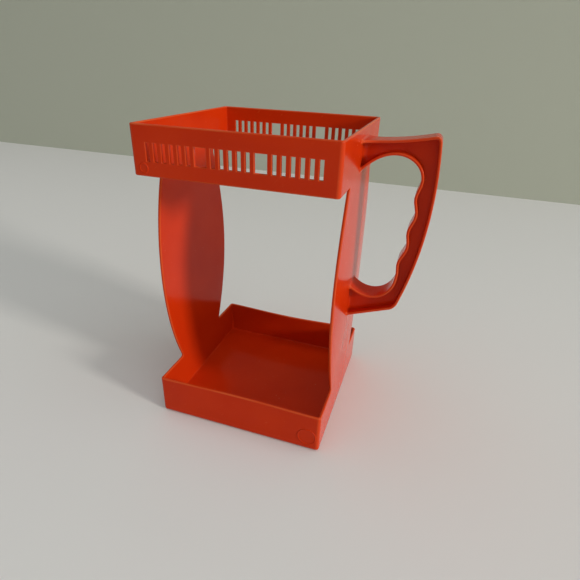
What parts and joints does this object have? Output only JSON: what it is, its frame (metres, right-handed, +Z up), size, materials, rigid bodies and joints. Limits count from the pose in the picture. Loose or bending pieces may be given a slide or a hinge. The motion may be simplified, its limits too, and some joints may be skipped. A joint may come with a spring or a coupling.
{
  "type": "carton carrier",
  "caption": "Moulded plastic carrier for a square gable-top carton: a shallow tray and a barred collar joined by barrel-shaped side panels, with a flanged side handle shaped for the fingers.",
  "frame": {"origin": "centre of the tray's underside, on the surface that the carrier stands on", "axes": "+Z up, +X towards the handle, -Y towards the front"},
  "size_m": [0.1417, 0.102, 0.173],
  "materials": {
    "moulding": "glossy, as moulded"
  },
  "bodies": {
    "root": {"tray_floor": "moulding", "tray_front_wall": "moulding", "tray_back_wall": "moulding", "tray_left_wall": "moulding", "tray_right_wall": "moulding", "left_panel": "moulding", "right_panel": "moulding", "collar_front_band": "moulding", "collar_back_band": "moulding", "collar_left_band": "moulding", "collar_right_band": "moulding", "handle_web": "moulding", "handle_outer_rim": "moulding", "handle_grip_rim": "moulding"}
  },
  "joints": []
}
